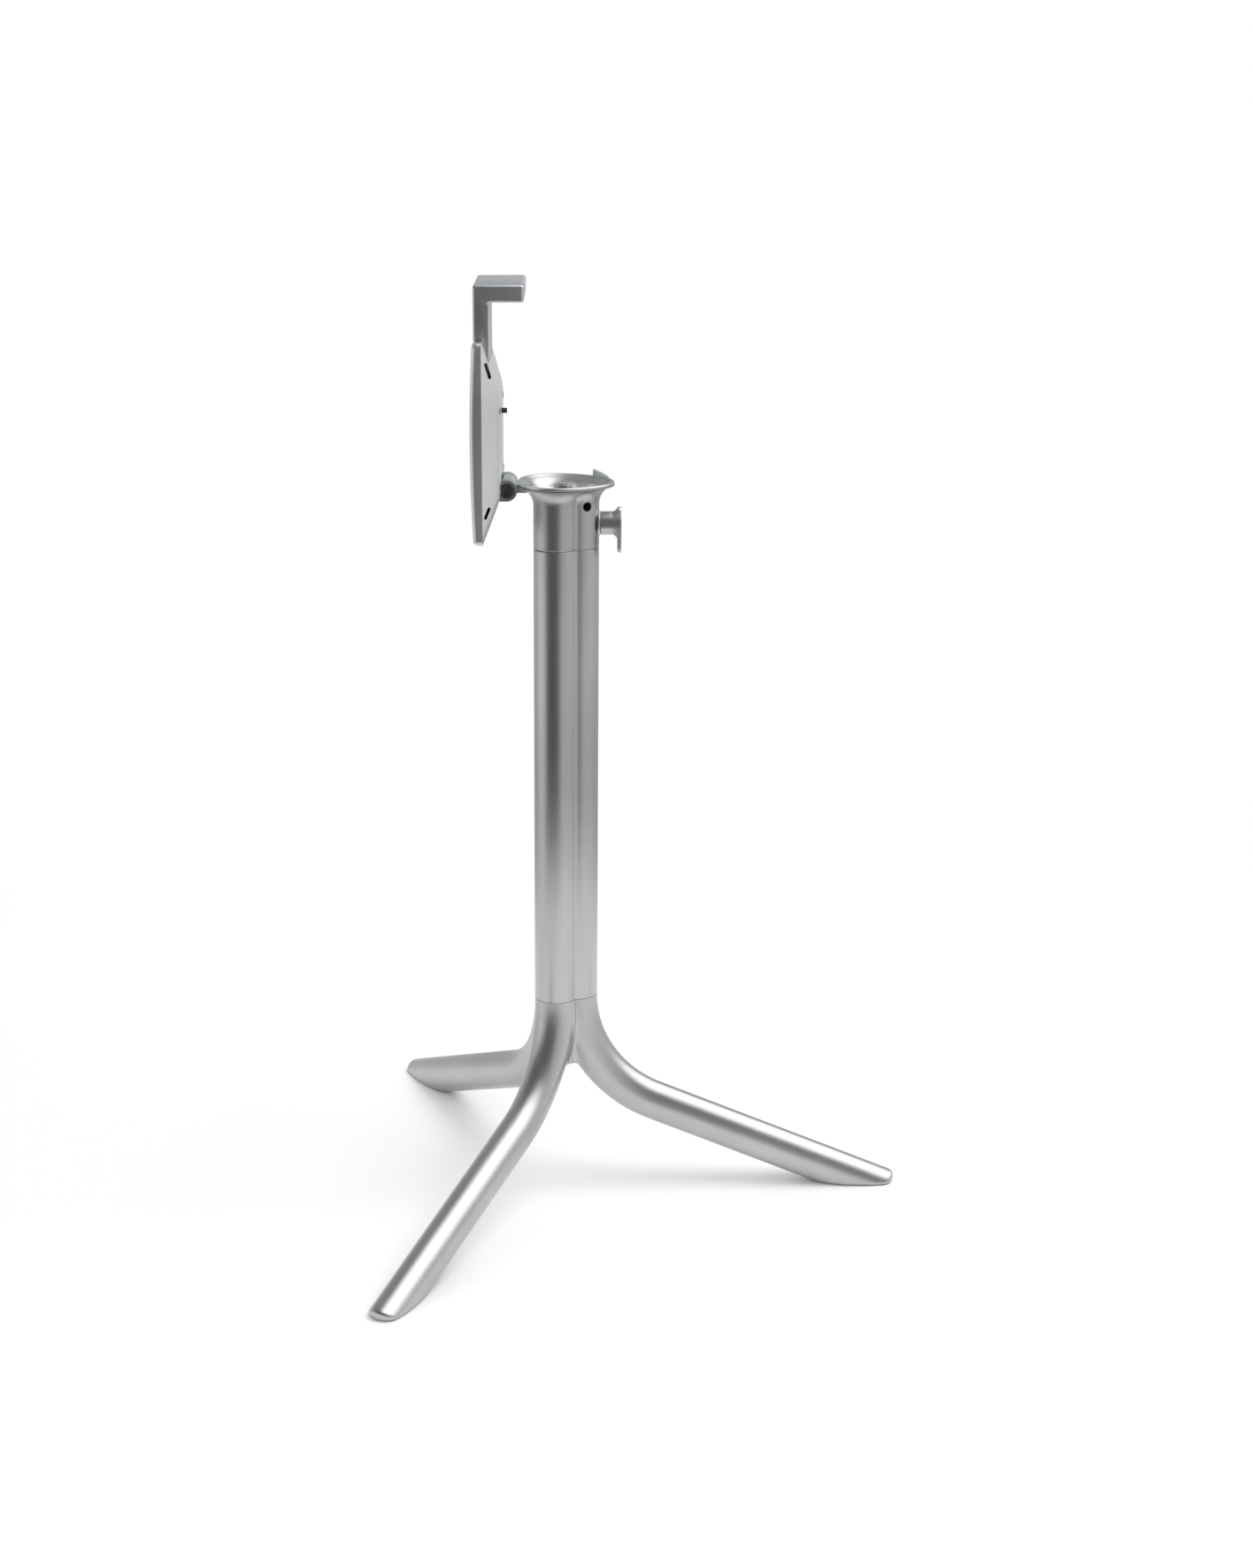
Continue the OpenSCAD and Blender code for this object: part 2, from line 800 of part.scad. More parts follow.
module hinge_bracket() {
    half = barrel_len / 2;
    color(dark) difference() {
        union() {
            block([plate_inner_x, -half - 1, hinge_z - 21],
                [plate_inner_x + bracket_t, half + 1, hinge_z + 21]);
            hinge_ear(-half, -half + ear_len);
            hinge_ear(half - ear_len, half);
        }
        at_hinge() {
            rod_y(bolt_r + screw_gap, -half - 1, half + 1);
            rod_y(bolt_head_r + screw_gap, -half - 1, -half + bolt_head_h);
            translate([0, half - bolt_head_h, 0]) rotate([-90, 0, 0])
                hex_prism(hinge_nut_flats + 2 * screw_gap, bolt_head_h + 1);
        }
        bracket_screw_places() rod_x(2.6, plate_inner_x - 1, plate_inner_x + bracket_t + 1);
    }
}

module bracket_screws() {
    back = plate_inner_x + bracket_t;
    color(steel) bracket_screw_places() difference() {
        union() {
            rod_x(small_screw_r, plate_front_x + 1.5, back);
            rod_x(bracket_screw_head_r, back, back + 3.5);
        }
        translate([back + 1.5, 0, 0]) rotate([0, 90, 0]) hex_prism(4, 3);
    }
}

module hinge_bolt() {
    half = barrel_len / 2;
    color(dark) at_hinge() difference() {
        union() {
            rod_y(bolt_head_r, -half, -half + bolt_head_h - screw_gap);
            rod_y(bolt_r, -half, half);
        }
        translate([0, -half - eps, 0]) rotate([-90, 0, 0]) hex_prism(hex_flats_bolt, 4.5);
    }
}

module hinge_nut() {
    half = barrel_len / 2;
    color(steel) at_hinge() translate([0, half - bolt_head_h + screw_gap, 0]) rotate([-90, 0, 0])
        difference() {
            hex_prism(hinge_nut_flats, bolt_head_h - 2 * screw_gap);
            translate([0, 0, -1]) cylinder(r = bolt_r + screw_gap, h = bolt_head_h + 2);
        }
}

module friction_washers() {
    side = centre_len / 2 + (ear_gap - washer_thin) / 2;
    color(black) at_hinge() for (a = [-side - washer_thin, side]) difference() {
        rod_y(knuckle_r - 0.5, a, a + washer_thin);
        rod_y(bolt_r + 0.2, a - 1, a + washer_thin + 1);
    }
}

module top_handle() {
    arm_low = head_top_z + handle_h - handle_arm_t;
    arm_top = head_top_z + handle_h;
    r = handle_round;
    color(dark) difference() {
        rotate([90, 0, 0]) translate([0, 0, -handle_w / 2]) linear_extrude(height = handle_w) {
            soft_rect([handle_front_x, arm_low], [handle_front_x + handle_reach, arm_top], r);
            soft_rect([handle_front_x, head_top_z + fit_gap], [tongue_back_x, arm_top], 1);
            translate([tongue_front_x, head_top_z - tongue_len])
                square([tongue_back_x - tongue_front_x, tongue_len + 2]);
        }
        handle_screw_places() rod_x(small_screw_r + screw_gap, plate_back_x - 1, tongue_back_x + 1);
    }
}

module handle_screws() {
    color(steel) handle_screw_places() difference() {
        union() {
            rod_x(small_screw_r, plate_front_x - 0.5, tongue_back_x);
            rod_x(handle_screw_head_r, plate_front_x - 1.5, plate_front_x + 1.5);
        }
        translate([plate_front_x - 1.5 - eps, 0, 0]) rotate([0, 90, 0]) hex_prism(2.5, 2);
    }
}

module rest_bumper() {
    color(black) translate([0, 0, bumper_z]) {
        rod_x(bumper_r, housing_back_x, housing_back_x + 6);
        rod_x(bumper_stem_r, housing_back_x - housing_wall, housing_back_x + 1);
    }
}

leg_right();
leg_front();
leg_back();
centre_hub();
clamp_plate();
leg_screws();
foot_pads();
column_tube();
lower_plug();
column_spigot();
thrust_ring();
tie_rod();
base_washer();
base_nut();
tie_washer();
tie_nut();
collar();
cup_rim();
hinge_arm();
arm_screws();
collar_bush();
lever_seat();
stop_lug();
lever_hub();
lever_blade();
lever_screw();
clamp_shoe();
tablet_plate();
rear_housing();
housing_screws();
hinge_bracket();
bracket_screws();
hinge_bolt();
hinge_nut();
friction_washers();
top_handle();
handle_screws();
rest_bumper();
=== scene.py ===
import bpy
import bmesh
import json
from math import radians, pi, sin, cos, tan, asin, sqrt
from mathutils import Matrix, Vector


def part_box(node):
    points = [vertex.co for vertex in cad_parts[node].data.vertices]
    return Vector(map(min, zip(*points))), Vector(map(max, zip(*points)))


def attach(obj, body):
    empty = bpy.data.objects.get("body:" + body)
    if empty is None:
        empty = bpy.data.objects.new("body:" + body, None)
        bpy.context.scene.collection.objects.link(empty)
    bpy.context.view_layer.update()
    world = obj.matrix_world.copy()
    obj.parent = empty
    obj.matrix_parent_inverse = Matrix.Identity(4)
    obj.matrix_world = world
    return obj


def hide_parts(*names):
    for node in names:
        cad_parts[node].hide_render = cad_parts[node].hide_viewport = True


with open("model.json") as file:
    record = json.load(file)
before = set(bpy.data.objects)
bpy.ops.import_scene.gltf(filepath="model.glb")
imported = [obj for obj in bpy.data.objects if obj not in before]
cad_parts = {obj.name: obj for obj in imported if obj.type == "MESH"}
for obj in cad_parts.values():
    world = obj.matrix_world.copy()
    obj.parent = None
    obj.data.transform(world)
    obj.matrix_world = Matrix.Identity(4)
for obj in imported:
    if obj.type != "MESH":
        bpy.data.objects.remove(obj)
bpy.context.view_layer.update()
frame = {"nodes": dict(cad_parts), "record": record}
nodes = frame["nodes"]
print("frame loaded:", len(nodes), "nodes")


def newObject(name, data):
    # Puts a mesh, a camera or a light into the scene
    thing = bpy.data.objects.new(name, data)
    bpy.context.scene.collection.objects.link(thing)
    return thing


# Camera

cameraSettings = {
    "place": (0.0, -2.5, 1.207),
    "pitch": 16.3,        # degrees below level
    "lens": 54.41,
    "sensorWidth": 36,
    "shiftX": 0.0406,
    "clipEnd": 60,
}


def makeCamera(s):
    data = bpy.data.cameras.new("viewCamera")
    data.sensor_width = s["sensorWidth"]
    data.lens = s["lens"]
    data.shift_x = s["shiftX"]
    data.clip_end = s["clipEnd"]
    camera = newObject("viewCamera", data)
    camera.location = s["place"]
    camera.rotation_euler = (radians(90 - s["pitch"]), 0, 0)
    bpy.context.scene.camera = camera


makeCamera(cameraSettings)
print("camera ready")


# Node helpers

class Wire:
    # A socket that Python's operators can work on
    def __init__(self, recipe, socket):
        self.recipe = recipe
        self.socket = socket

    def __add__(self, other):
        return self.recipe.maths("ADD", self, other)

    def __radd__(self, other):
        return self.recipe.maths("ADD", other, self)

    def __rsub__(self, other):
        return self.recipe.maths("SUBTRACT", other, self)

    def __mul__(self, other):
        return self.recipe.maths("MULTIPLY", self, other)

    def __rmul__(self, other):
        return self.recipe.maths("MULTIPLY", other, self)


class Recipe:
    # Builds the nodes of one material or world
    def __init__(self, owner):
        owner.use_nodes = True
        self.tree = owner.node_tree
        self.tree.nodes.clear()

    def add(self, kind, settings=None, sockets=None, out=0):
        node = self.tree.nodes.new(kind)
        for name, value in (settings or {}).items():
            setattr(node, name, value)
        for name, value in (sockets or {}).items():
            if isinstance(value, Wire):
                self.tree.links.new(value.socket, node.inputs[name])
            else:
                node.inputs[name].default_value = value
        return Wire(self, node.outputs[out]) if len(node.outputs) else node

    def maths(self, operation, a, b):
        return self.add("ShaderNodeMath", {"operation": operation}, {0: a, 1: b})


def clamped(recipe, value):
    return recipe.add("ShaderNodeClamp", None, {"Value": value})


def ramped(recipe, value, start, end):
    # Rises smoothly from 0 at the start to 1 at the end
    return recipe.add("ShaderNodeMapRange", {"interpolation_type": "SMOOTHSTEP"},
                      {"Value": value, "From Min": start, "From Max": end})


def mixedColour(recipe, factor, a, b):
    return recipe.add("ShaderNodeMix", {"data_type": "RGBA"}, {0: factor, 6: a, 7: b}, out=2)


def stretched(recipe, scale):
    place = recipe.add("ShaderNodeTexCoord", out=3)
    return recipe.add("ShaderNodeMapping", None, {"Vector": place, "Scale": scale})


def noise(recipe, scale, detail, rough, vector=None):
    place = vector or stretched(recipe, (1, 1, 1))
    return recipe.add("ShaderNodeTexNoise", None, {
        "Vector": place, "Scale": scale, "Detail": detail, "Roughness": rough})


# Finishes

finishes = {
    "castSilver": {
        "light": (0.505, 0.508, 0.505), "deep": (0.455, 0.458, 0.458), "rough": (0.30, 0.38),
        "grain": 1500, "bump": 0.10, "height": 0.00012, "metal": 1.0,
    },
    "tubeSilver": {
        "light": (0.500, 0.503, 0.503), "deep": (0.455, 0.459, 0.462), "rough": (0.27, 0.34),
        "grain": 1800, "bump": 0.06, "height": 0.00008, "metal": 1.0, "drawn": (1, 1, 0.02),
    },
    "sheetSilver": {
        "light": (0.78, 0.785, 0.78), "deep": (0.70, 0.705, 0.70), "rough": (0.40, 0.50),
        "grain": 1100, "bump": 0.18, "height": 0.00015, "metal": 1.0,
    },
    "plateSilver": {
        "light": (0.74, 0.75, 0.76), "deep": (0.66, 0.67, 0.68), "rough": (0.36, 0.46),
        "grain": 1100, "bump": 0.16, "height": 0.00015, "metal": 1.0,
    },
    "darkCast": {
        "light": (0.61, 0.625, 0.64), "deep": (0.54, 0.555, 0.57), "rough": (0.32, 0.42),
        "grain": 1300, "bump": 0.12, "height": 0.00012, "metal": 1.0,
    },
    "zincSteel": {
        "light": (0.55, 0.55, 0.54), "deep": (0.42, 0.42, 0.42), "rough": (0.22, 0.36),
        "grain": 900, "bump": 0.08, "height": 0.0001, "metal": 1.0,
    },
    "blackOxide": {
        "light": (0.035, 0.035, 0.037), "deep": (0.015, 0.015, 0.016), "rough": (0.35, 0.5),
        "grain": 1500, "bump": 0.1, "height": 0.0001, "metal": 0.6,
    },
    "hingeCast": {
        "light": (0.40, 0.415, 0.43), "deep": (0.33, 0.345, 0.36), "rough": (0.32, 0.42),
        "grain": 1300, "bump": 0.12, "height": 0.00012, "metal": 1.0,
    },
    "darkSteel": {
        "light": (0.12, 0.125, 0.13), "deep": (0.09, 0.095, 0.10), "rough": (0.32, 0.42),
        "grain": 1500, "bump": 0.1, "height": 0.0001, "metal": 1.0,
    },
    "rubber": {
        "light": (0.035, 0.035, 0.035), "deep": (0.02, 0.02, 0.02), "rough": (0.75, 0.9),
        "grain": 1200, "bump": 0.25, "height": 0.0002, "metal": 0.0,
    },
    "bearingPlastic": {
        "light": (0.055, 0.055, 0.056), "deep": (0.04, 0.04, 0.04), "rough": (0.4, 0.5),
        "grain": 900, "bump": 0.06, "height": 0.0001, "metal": 0.0,
    },
    "plugPlastic": {
        "light": (0.13, 0.13, 0.13), "deep": (0.10, 0.10, 0.10), "rough": (0.5, 0.6),
        "grain": 900, "bump": 0.08, "height": 0.0001, "metal": 0.0,
    },
}

surface = {
    "cloudScale": 14,                   # slow change over a hand's width
    "speckScale": 420,                  # fine mottling
    "toneShares": (0.5, 0.35, 0.15),    # cloud, speck and grain in the colour
    "toneRange": (0.35, 0.65),
    "roughShares": (0.6, 0.4),          # cloud and speck in the roughness
    "bumpShares": (0.6, 0.4),           # grain and speck in the bump
}


def makeFinish(name, s, shared):
    material = bpy.data.materials.new(name)
    recipe = Recipe(material)
    along = stretched(recipe, s.get("drawn", (1, 1, 1)))
    grain = noise(recipe, s["grain"], 3, 0.6, along)
    cloud = noise(recipe, shared["cloudScale"], 3, 0.5)
    speck = noise(recipe, shared["speckScale"], 2, 0.6, along)
    ofCloud, ofSpeck, ofGrain = shared["toneShares"]
    tone = clamped(recipe, cloud * ofCloud + speck * ofSpeck + grain * ofGrain)
    shade = ramped(recipe, tone, *shared["toneRange"])
    colour = mixedColour(recipe, shade, (*s["deep"], 1), (*s["light"], 1))
    low, high = s["rough"]
    ofCloud, ofSpeck = shared["roughShares"]
    roughness = low + (high - low) * (cloud * ofCloud + speck * ofSpeck)
    ofGrain, ofSpeck = shared["bumpShares"]
    bump = recipe.add("ShaderNodeBump", None, {
        "Strength": s["bump"], "Distance": s["height"], "Height": grain * ofGrain + speck * ofSpeck})
    shader = recipe.add("ShaderNodeBsdfPrincipled", None, {
        "Base Color": colour, "Roughness": roughness, "Metallic": s["metal"], "Normal": bump})
    recipe.add("ShaderNodeOutputMaterial", None, {"Surface": shader})
    return material


finish = {name: makeFinish(name, s, surface) for name, s in finishes.items()}
slotFinish = {
    "cast_silver": "castSilver", "tube_silver": "tubeSilver", "sheet_silver": "sheetSilver",
    "dark_cast": "darkCast", "steel": "zincSteel", "black_steel": "blackOxide", "rubber": "rubber",
    "bearing_plastic": "bearingPlastic", "plug_plastic": "plugPlastic",
}
nodeSlot = {part["node"]: part["material_slot"] for part in frame["record"]["subparts"]}
bodyOf = {n: body for body, names in frame["record"]["behaviour"]["bodies"].items() for n in names}
for name, part in nodes.items():
    part.data.materials.clear()
    part.data.materials.append(finish[slotFinish[nodeSlot[name]]])
print("finishes ready:", len(finish))


# Shape helpers

def meshFrom(name, shape):
    mesh = bpy.data.meshes.new(name)
    shape.to_mesh(mesh)
    shape.free()
    return mesh


def settled(piece):
    # The piece's mesh with its modifiers applied
    bpy.context.view_layer.update()
    graph = bpy.context.evaluated_depsgraph_get()
    mesh = bpy.data.meshes.new_from_object(piece.evaluated_get(graph))
    old = piece.data
    piece.modifiers.clear()
    piece.data = mesh
    bpy.data.meshes.remove(old)
    return piece


def cut(piece, shape, operation="DIFFERENCE"):
    # Takes a bmesh away from the piece, or keeps only what both share
    bmesh.ops.recalc_face_normals(shape, faces=shape.faces)
    tool = newObject("tool", meshFrom("tool", shape))
    step = piece.modifiers.new("cut", "BOOLEAN")
    step.operation = operation
    step.solver = "MANIFOLD"
    step.object = tool
    settled(piece)
    bpy.data.objects.remove(tool)
    return piece


def grown(piece, voxel):
    # Rebuilds the skin in small steps, so that solids that overlap become one
    step = piece.modifiers.new("grow", "REMESH")
    step.mode = "VOXEL"
    step.voxel_size = voxel
    return settled(piece)


def eased(piece, rounds, group=""):
    # Smooths the whole piece, or as much as a vertex group says
    step = piece.modifiers.new("ease", "SMOOTH")
    step.factor, step.iterations, step.vertex_group = 0.5, rounds, group


def rod(radius, start, end, segments=48):
    # A cylinder from start to end
    shape = bmesh.new()
    start, end = Vector(start), Vector(end)
    turn = (end - start).to_track_quat("Z", "Y").to_matrix().to_4x4()
    bmesh.ops.create_cone(shape, cap_ends=True, cap_tris=False, segments=segments,
                          radius1=radius, radius2=radius, depth=(end - start).length,
                          matrix=Matrix.Translation((start + end) / 2) @ turn)
    return shape


def block(low, high):
    shape = bmesh.new()
    bmesh.ops.create_cube(shape, size=1)
    for v in shape.verts:
        v.co = Vector([h if c > 0 else l for c, l, h in zip(v.co, low, high)])
    return shape


def bevelled(shape, edges, width, segments):
    bmesh.ops.bevel(shape, geom=edges, offset=width, offset_type="OFFSET", affect="EDGES",
                    segments=segments, profile=0.5, material=-1, clamp_overlap=True)


def extruded(places, move):
    # A flat outline drawn out along a vector
    shape = bmesh.new()
    face = shape.faces.new([shape.verts.new(place) for place in places])
    moved = bmesh.ops.extrude_face_region(shape, geom=[face])["geom"]
    verts = [v for v in moved if isinstance(v, bmesh.types.BMVert)]
    bmesh.ops.translate(shape, verts=verts, vec=move)
    bmesh.ops.recalc_face_normals(shape, faces=shape.faces)
    return shape


def prism(outline, low, high):
    # An outline in X and Z, drawn out along Y from low to high
    return extruded([(x, low, z) for x, z in outline], (0, high - low, 0))


def loft(rings):
    # A closed skin through a list of rings, each a list of the same number of places
    shape = bmesh.new()
    ring = bmesh.ops.create_circle(shape, cap_ends=True, segments=len(rings[0]), radius=1.0)["verts"]
    for i, places in enumerate(rings):
        if i:
            old = ring
            known = set(old)
            edges = {e for v in old for e in v.link_edges}
            edges = [e for e in edges if e.verts[0] in known and e.verts[1] in known]
            moved = bmesh.ops.extrude_edge_only(shape, edges=edges)["geom"]
            partner = {}
            for v in moved:
                if isinstance(v, bmesh.types.BMVert):
                    for e in v.link_edges:
                        if e.other_vert(v) in known:
                            partner[e.other_vert(v)] = v
            ring = [partner[v] for v in old]
        for v, place in zip(ring, places):
            v.co = place
    bmesh.ops.contextual_create(shape, geom=ring)
    bmesh.ops.recalc_face_normals(shape, faces=shape.faces)
    return shape


softening = {
    "join": 0.00001,        # corners closer than this become one
    "flat": 0.5,            # degrees; faces closer to level than this become one
    "hard": 30,             # degrees; edges sharper than this are rounded
    "segments": 2,
    "proud": 0.3,           # how much of its height a flattened screw head keeps
}


def softened(s, name, width, paint, flatten):
    # A copy of a CAD node with its hard edges slightly rounded
    shape = bmesh.new()
    shape.from_mesh(nodes[name].data)
    bmesh.ops.transform(shape, matrix=nodes[name].matrix_world, verts=shape.verts)
    bmesh.ops.remove_doubles(shape, verts=shape.verts, dist=s["join"])
    bmesh.ops.dissolve_limit(shape, angle_limit=radians(s["flat"]), verts=shape.verts, edges=shape.edges)
    if flatten:
        # screw heads let in until they stand only slightly proud
        for v in shape.verts:
            v.co.x = min(v.co.x, flatten + (v.co.x - flatten) * s["proud"])
    angle = radians(s["hard"])
    hard = [e for e in shape.edges if len(e.link_faces) == 2 and e.calc_face_angle(0) > angle]
    bevelled(shape, hard, width, s["segments"])
    bmesh.ops.recalc_face_normals(shape, faces=shape.faces)
    title = "soft" + "".join(word.capitalize() for word in name.split("_"))
    piece = newObject(title, meshFrom(title, shape))
    return finished(piece, bodyOf[name], nodeSlot[name], name, paint=paint)


def finished(piece, body, slot, *replaced, angle=35, paint=None):
    # Smooth shading, the finish (the slot's own unless a paint is given), the body, and the nodes that the
    # piece stands for hidden
    piece.data.shade_smooth()
    piece.data.set_sharp_from_angle(angle=radians(angle))
    piece.data.materials.clear()
    piece.data.materials.append(finish[paint or slotFinish[slot]])
    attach(piece, body)
    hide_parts(*replaced)
    return piece


# Legs

legShape = {
    "seamZ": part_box("column_tube")[0].z,
    "lobeOut": 0.015,       # each lobe's centre from the axis
    "lobeR": 0.02375,
    "bendR": 0.1425,
    "slope": 22.25,
    "tall": 0.0225,         # half the section's height beyond the bend
    "wide": 0.0193,
    "noseR": 0.0193,
    "footZ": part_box("leg_right")[0].z,
    "reach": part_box("leg_right")[1].x,
    "coreR": 0.0215,
    "coreZ": 0.150,
    "recessR": 0.0163,
    "recessZ": 0.172,
    "rodR": 0.0123,
    "ringCount": 34,        # sections round the bend
    "runCount": 24,         # sections along the straight run
    "corners": 72,
    "leadIn": (0.03, 0.012),    # how far above the seam the bar starts
    "beyond": 0.06,         # the bar runs on this far, to be trimmed
    "blendRate": 1.15,
    "voxel": 0.0015,
    "seamGap": 0.00035,
    "easing": 8,
    "crotchEasing": 60,     # rounds the crotches: near the axis and below the seam
    "crotchOut": (0.075, 0.035),
    "crotchZ": (0.004, 0.03),
    "footEasing": 12,       # rounds the feet: low down, and most at the nose
    "footTopZ": 0.03,
    "footFade": 0.01,
    "noseOut": 0.355,
    "heelShare": 0.55,
    "wedgeReach": 0.9,
}


def legTube(s):
    # The bar swept down from the lobe, round the bend and out past the foot
    bend = radians(90 - s["slope"])
    endX = s["lobeOut"] + s["bendR"] * (1 - cos(bend))
    endZ = s["seamZ"] - s["bendR"] * sin(bend)
    stations = [(s["lobeOut"], s["seamZ"] + up, 0.0, 0.0) for up in s["leadIn"]]
    for i in range(s["ringCount"] + 1):
        share = i / s["ringCount"]
        turn = bend * share
        x = s["lobeOut"] + s["bendR"] * (1 - cos(turn))
        stations.append((x, s["seamZ"] - s["bendR"] * sin(turn), turn, share))
    for i in range(1, s["runCount"] + 1):
        x = endX + (s["reach"] + s["beyond"] - endX) * i / s["runCount"]
        stations.append((x, endZ - (x - endX) * tan(radians(s["slope"])), bend, 1.0))
    around = [2 * pi * k / s["corners"] for k in range(s["corners"])]
    rings = []
    for x, z, turn, share in stations:
        blend = min(1.0, share * s["blendRate"])
        blend = blend * blend * (3 - 2 * blend)
        tall = s["lobeR"] + (s["tall"] - s["lobeR"]) * blend
        wide = s["lobeR"] + (s["wide"] - s["lobeR"]) * blend
        place = Matrix.Translation((x, 0, z)) @ Matrix.Rotation(-turn, 4, "Y")
        rings.append([place @ Vector((cos(a) * tall, sin(a) * wide, 0)) for a in around])
    return loft(rings)


def footTrim(s):
    # Everything inside the foot's rounded outline on the floor, drawn upward
    centre, nose = s["reach"] - s["noseR"], s["noseR"]
    inner, side = -0.1, 0.06
    outline = [(inner, -side), (centre, -side)]
    outline += [(centre + nose * cos(radians(a)), nose * sin(radians(a))) for a in range(-90, 91, 6)]
    outline += [(centre, side), (inner, side)]
    return extruded([(x, y, s["footZ"]) for x, y in outline], (0, 0, 0.5))


def wholeBase(s):
    # The three bars and the core grown together, with rounded crotches
    shape = bmesh.new()
    one = cut(newObject("oneLeg", meshFrom("oneLeg", legTube(s))), footTrim(s), "INTERSECT")
    for turn in (0, 120, 240):
        start = len(shape.verts)
        shape.from_mesh(one.data)
        shape.verts.ensure_lookup_table()
        bmesh.ops.rotate(shape, verts=shape.verts[start:], cent=(0, 0, 0),
                         matrix=Matrix.Rotation(radians(turn), 3, "Z"))
    bpy.data.objects.remove(one)
    core = rod(s["coreR"], (0, 0, s["coreZ"]), (0, 0, s["seamZ"] + 0.028))
    mesh = meshFrom("core", core)
    shape.from_mesh(mesh)
    bpy.data.meshes.remove(mesh)
    base = grown(newObject("wholeBase", meshFrom("wholeBase", shape)), s["voxel"])
    middle = base.vertex_groups.new(name="middle")
    feet = base.vertex_groups.new(name="feet")
    outFrom, outFade = s["crotchOut"]
    down, rise = s["crotchZ"]
    for v in base.data.vertices:
        out = sqrt(v.co.x ** 2 + v.co.y ** 2)
        if v.co.z < s["footTopZ"]:
            share = 1.0 if out > s["noseOut"] else s["heelShare"]
            feet.add([v.index], min(1.0, (s["footTopZ"] - v.co.z) / s["footFade"]) * share, "REPLACE")
        near = max(0.0, min(1.0, (outFrom - out) / outFade))
        below = max(0.0, min(1.0, (s["seamZ"] - down - v.co.z) / rise))
        if near * below > 0:
            middle.add([v.index], near * below, "REPLACE")
    eased(base, s["easing"])
    eased(base, s["crotchEasing"], "middle")
    eased(base, s["footEasing"], "feet")
    return settled(base)


def legPiece(name, turn, base, s):
    # The third of the base between two upright cuts, with the hub's recess and the rod's bore
    leg = newObject(name + "Casting", base.data.copy())
    low, high = s["footZ"], s["seamZ"] - 0.0002
    tip, out = s["seamGap"] / 2 / sin(radians(60)), s["wedgeReach"]
    side = (out - tip) * tan(radians(60))
    wedge = extruded([(tip, 0, low), (out, -side, low), (out, side, low)], (0, 0, high - low))
    bmesh.ops.rotate(wedge, verts=wedge.verts, cent=(0, 0, 0), matrix=Matrix.Rotation(radians(turn), 3, "Z"))
    cut(leg, wedge, "INTERSECT")
    cut(leg, rod(s["recessR"], (0, 0, 0.05), (0, 0, s["recessZ"]), 64))
    cut(leg, rod(s["rodR"], (0, 0, s["recessZ"] - 0.005), (0, 0, s["seamZ"] + 0.05)))
    return finished(leg, "stand", "cast_silver", name, angle=50)


base = wholeBase(legShape)
for name, turn in (("leg_right", 0), ("leg_back", 120), ("leg_front", 240)):
    legPiece(name, turn, base, legShape)
bpy.data.objects.remove(base)
print("legs ready")


# Collar

collarShape = {
    "lowZ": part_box("collar")[0].z - 0.0005,
    "topZ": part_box("cup_rim")[1].z,
    "floorZ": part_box("collar")[1].z,
    "lobeOut": 0.015,
    "sleeveR": 0.02375,
    "rimR": 0.0395,
    "flareR": 0.020,
    "lipR": 0.0022,
    "boreR": 0.0206,
    "boreTopZ": 0.792,
    "leverZ": 0.7656,
    "seatX": 0.03675,
    "seatR": 0.0141,
    "cableZ": 0.7864,
    "cableAngle": -62.7,
    "cableR": 0.005,
    "cutX": 0.06,           # the bores on the lever's side are cut out to here
    "screwR": 0.0051,
    "screwX": 0.01,
    "armPocket": ((-0.049, -0.0151, 0.7999), (-0.0375, 0.0151, 0.8091)),
    "armScrewR": 0.0038,
    "armScrewX": (-0.034, -0.02),
    "armScrewY": 0.009,
    "armScrewZ": 0.8045,
    "lowEdge": ((0.0014, 0), (0.0005, 0.0001), (0.0001, 0.0005)),       # inward and upward
    "lowEdgeTop": 0.001,
    "flareTurn": 78,
    "lipTurns": (-50, 126, 12),
    "bowlWall": 0.004,
    "bowlDown": 0.0018,
    "bowlUp": 0.0016,
    "floorEdge": ((0.0008, 0.0005), (0.0022, 0.0001), (0.006, 0)),      # inward and upward
    "corners": 192,
    "sleeveBlend": 22,      # higher keeps the groove between two lobes sharper
    "rimBlend": 6,          # the rim is nearly a round-cornered triangle
    "hingeBlend": 9,        # added towards the hinge, where the rim keeps clear of the barrel
}


def lobed(s, radius, angle, blend):
    # How far the three-lobed outline reaches at an angle
    total = 0.0
    for turn in (0, 120, 240):
        a = angle - radians(turn)
        total += (s["lobeOut"] * cos(a) + sqrt(radius ** 2 - (s["lobeOut"] * sin(a)) ** 2)) ** blend
    return total ** (1 / blend)


